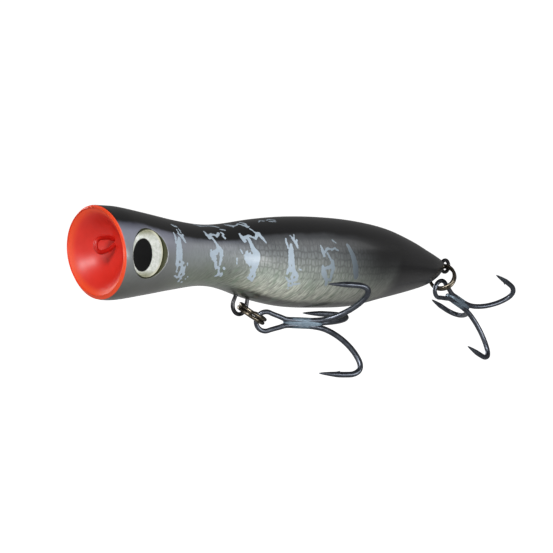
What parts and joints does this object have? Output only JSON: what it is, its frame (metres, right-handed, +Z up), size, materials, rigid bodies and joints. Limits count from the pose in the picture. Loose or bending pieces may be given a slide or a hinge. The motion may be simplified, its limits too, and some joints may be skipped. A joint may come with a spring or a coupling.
{
  "type": "topwater popper fishing lure",
  "caption": "Topwater popper lure with a cupped red mouth, wide-set eyes and a through wire that carries treble hooks on split rings.",
  "frame": {"origin": "centre of the line tie's wire eye, in the mouth of the lure", "axes": "+X from the mouth to the tail, +Y towards the fish's right side, +Z up from the belly to the back"},
  "size_m": [0.2181, 0.0519, 0.0569],
  "materials": {
    "painted_shell": "glossy, dark back over silver sides",
    "red_cup": "glossy red",
    "dark_steel": "darkened",
    "black_nickel": "black nickel plated",
    "hook_plating": "dark plated",
    "reflecting_foil": "metallised reflecting film",
    "cast_lead": "as cast",
    "ball_steel": "polished",
    "printed_iris": "clear gloss over a printed eye"
  },
  "bodies": {
    "lure_body": {"body_shell_left": "painted_shell", "body_shell_right": "painted_shell", "mouth_cup": "red_cup", "through_wire": "dark_steel", "eye_backing_left": "reflecting_foil", "eye_backing_right": "reflecting_foil", "eye_dome_left": "printed_iris", "eye_dome_right": "printed_iris", "reflector_left": "reflecting_foil", "reflector_right": "reflecting_foil", "belly_ballast": "cast_lead", "tail_ballast": "cast_lead"},
    "front_ball": {"rattle_ball_front": "ball_steel"},
    "rear_ball": {"rattle_ball_rear": "ball_steel"},
    "belly_ring": {"belly_split_ring": "black_nickel"},
    "belly_hook": {"belly_treble_double": "hook_plating", "belly_treble_single": "hook_plating"},
    "tail_ring": {"tail_split_ring": "black_nickel"},
    "tail_hook": {"tail_treble_double": "hook_plating", "tail_treble_single": "hook_plating"}
  },
  "joints": [
    {"name": "belly_ring_swing", "type": "hinge", "parent": "lure_body", "child": "belly_ring", "pos_m": [0.0641, 0, -0.0191], "axis": [0, 1, 0], "range_deg": [0, 90]},
    {"name": "belly_hook_swing", "type": "hinge", "parent": "belly_ring", "child": "belly_hook", "pos_m": [0.07064, -0.00604, -0.02462], "axis": [0.7188, 0.6952, 0.0006], "range_deg": [0, 95]},
    {"name": "tail_ring_swing", "type": "hinge", "parent": "lure_body", "child": "tail_ring", "pos_m": [0.1812, 0, -0.0029], "axis": [0, 1, 0], "range_deg": [-100, 0]},
    {"name": "tail_hook_swing", "type": "hinge", "parent": "tail_ring", "child": "tail_hook", "pos_m": [0.17665, -0.00143, -0.0121], "axis": [-0.3392, 0.9405, 0.0198], "range_deg": [-60, 90]},
    {"name": "front_ball_roll", "type": "slide", "parent": "lure_body", "child": "front_ball", "axis": [1, 0, 0], "range_m": [-0.002, 0.0085]},
    {"name": "rear_ball_roll", "type": "slide", "parent": "lure_body", "child": "rear_ball", "axis": [0.9833, 0, 0.1822], "range_m": [0, 0.0155]}
  ]
}
